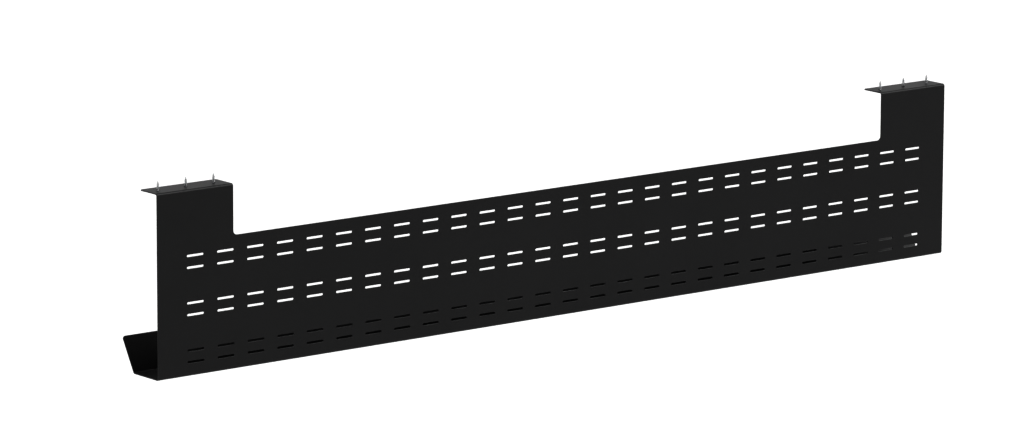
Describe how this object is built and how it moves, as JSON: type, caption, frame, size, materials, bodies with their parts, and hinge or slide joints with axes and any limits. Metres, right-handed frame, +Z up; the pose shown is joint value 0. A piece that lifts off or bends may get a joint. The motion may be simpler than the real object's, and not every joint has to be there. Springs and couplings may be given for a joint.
{
  "type": "under-desk cable tray",
  "caption": "Long folded steel cable tray that hangs under a desktop: slotted back panel, open cut-out at the top, J-shaped trough with a leaning lip, screwed on by two end flanges.",
  "frame": {"origin": "on the underside of the desktop, midway along the tray, in the plane of the sheet's back face", "axes": "+X along the tray, +Y from the back panel towards the person at the desk, +Z up"},
  "size_m": [1.4, 0.084, 0.2654],
  "materials": {
    "black_powder_coat": "fine-textured matt black powder coat on folded steel sheet",
    "zinc_screw": "bright zinc plate on steel screws",
    "zinc_washer": "bright zinc plate on steel washers"
  },
  "bodies": {
    "root": {"tray_sheet": "black_powder_coat", "screw_left_1": "zinc_screw", "screw_left_2": "zinc_screw", "screw_left_3": "zinc_screw", "screw_right_1": "zinc_screw", "screw_right_2": "zinc_screw", "screw_right_3": "zinc_screw", "washer_left_1": "zinc_washer", "washer_left_2": "zinc_washer", "washer_left_3": "zinc_washer", "washer_right_1": "zinc_washer", "washer_right_2": "zinc_washer", "washer_right_3": "zinc_washer"}
  },
  "joints": []
}
